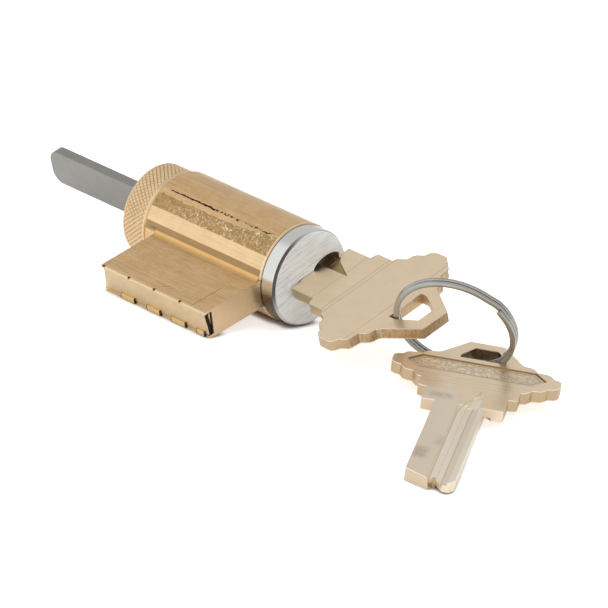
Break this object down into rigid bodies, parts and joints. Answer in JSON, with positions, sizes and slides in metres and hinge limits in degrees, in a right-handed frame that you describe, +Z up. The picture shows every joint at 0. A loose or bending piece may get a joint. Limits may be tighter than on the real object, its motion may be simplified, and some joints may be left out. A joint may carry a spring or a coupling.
{
  "type": "key-in-knob cylinder",
  "caption": "Lock cylinder for a door knob: brass barrel with a pin housing, turning plug with a flat tail blade, key in the plug, split ring and spare key.",
  "frame": {"origin": "on the plug's axis, in the front plane of the shell, where the barrel and the pin housing end", "axes": "+X along the plug's axis towards the key, +Z up from the table, the pin housing points to -Y and sags about 18 degrees"},
  "size_m": [0.1344, 0.052, 0.0203],
  "materials": {
    "shell_brass": "warm drawn brass, lengthwise brush lines, some long scratches and pale scuffs",
    "strip_brass": "thin rolled brass strip, dull",
    "head_nickel_silver": "pale silver-grey face, fine straight brush lines",
    "cap_brass": "turned brass, diamond knurl round the outside",
    "pin_steel": "bright drawn steel",
    "pin_brass": "turned brass, bright",
    "spring_steel": "spring wire",
    "tail_steel": "stamped mid-grey steel, satin",
    "key_brass": "pale satin nickel silver with a beige tone, golden rough edges",
    "ring_nickel": "bright nickel-plated wire"
  },
  "bodies": {
    "shell": {"shell": "shell_brass", "spring_strip": "strip_brass", "pin_spring_1": "spring_steel", "pin_spring_2": "spring_steel", "pin_spring_3": "spring_steel", "pin_spring_4": "spring_steel", "pin_spring_5": "spring_steel", "pin_spring_6": "spring_steel"},
    "plug": {"plug": "head_nickel_silver", "plug_cap": "cap_brass", "tail_blade": "tail_steel", "cap_pin_spring": "spring_steel", "key_pin_1": "pin_brass", "key_pin_2": "pin_brass", "key_pin_3": "pin_brass", "key_pin_4": "pin_brass", "key_pin_5": "pin_brass", "key_pin_6": "pin_brass"},
    "cap_pin": {"cap_pin": "pin_steel"},
    "key": {"key": "key_brass"},
    "split_ring": {"split_ring": "ring_nickel"},
    "spare_key": {"spare_key": "key_brass"},
    "driver_pin_1": {"driver_pin_1": "pin_brass"},
    "driver_pin_2": {"driver_pin_2": "pin_brass"},
    "driver_pin_3": {"driver_pin_3": "pin_brass"},
    "driver_pin_4": {"driver_pin_4": "pin_brass"},
    "driver_pin_5": {"driver_pin_5": "pin_brass"},
    "driver_pin_6": {"driver_pin_6": "pin_brass"}
  },
  "joints": [
    {"name": "plug_turn", "type": "hinge", "parent": "shell", "child": "plug", "pos_m": [0, 0, 0], "axis": [1, 0, 0], "continuous": true},
    {"name": "key_slide", "type": "slide", "parent": "plug", "child": "key", "axis": [1, 0, 0], "range_m": [0, 0.032]},
    {"name": "ring_swing", "type": "hinge", "parent": "key", "child": "split_ring", "pos_m": [0.02497, -0.00008, -0.00026], "axis": [0.0724, -0.5307, 0.8445], "range_deg": [0, 30]},
    {"name": "spare_key_slide", "type": "hinge", "parent": "split_ring", "child": "spare_key", "pos_m": [0.03445, 0.00393, 0.00145], "axis": [0.4115, -0.7554, -0.51], "range_deg": [0, 30]},
    {"name": "cap_pin_press", "type": "slide", "parent": "plug", "child": "cap_pin", "axis": [1, 0, 0], "range_m": [0, 0.0008], "stiffness_N_per_m": 300, "springref_m": -0.002, "deforming": ["cap_pin_spring"]},
    {"name": "driver_pin_1_slide", "type": "slide", "parent": "shell", "child": "driver_pin_1", "axis": [0, -0.9526, -0.3043], "range_m": [0, 0.0025], "stiffness_N_per_m": 300, "springref_m": -0.003, "deforming": ["pin_spring_1"]},
    {"name": "driver_pin_2_slide", "type": "slide", "parent": "shell", "child": "driver_pin_2", "axis": [0, -0.9526, -0.3043], "range_m": [0, 0.0025], "stiffness_N_per_m": 300, "springref_m": -0.003, "deforming": ["pin_spring_2"]},
    {"name": "driver_pin_3_slide", "type": "slide", "parent": "shell", "child": "driver_pin_3", "axis": [0, -0.9526, -0.3043], "range_m": [0, 0.0025], "stiffness_N_per_m": 300, "springref_m": -0.003, "deforming": ["pin_spring_3"]},
    {"name": "driver_pin_4_slide", "type": "slide", "parent": "shell", "child": "driver_pin_4", "axis": [0, -0.9526, -0.3043], "range_m": [0, 0.0025], "stiffness_N_per_m": 300, "springref_m": -0.003, "deforming": ["pin_spring_4"]},
    {"name": "driver_pin_5_slide", "type": "slide", "parent": "shell", "child": "driver_pin_5", "axis": [0, -0.9526, -0.3043], "range_m": [0, 0.0025], "stiffness_N_per_m": 300, "springref_m": -0.003, "deforming": ["pin_spring_5"]},
    {"name": "driver_pin_6_slide", "type": "slide", "parent": "shell", "child": "driver_pin_6", "axis": [0, -0.9526, -0.3043], "range_m": [0, 0.0025], "stiffness_N_per_m": 300, "springref_m": -0.003, "deforming": ["pin_spring_6"]}
  ]
}
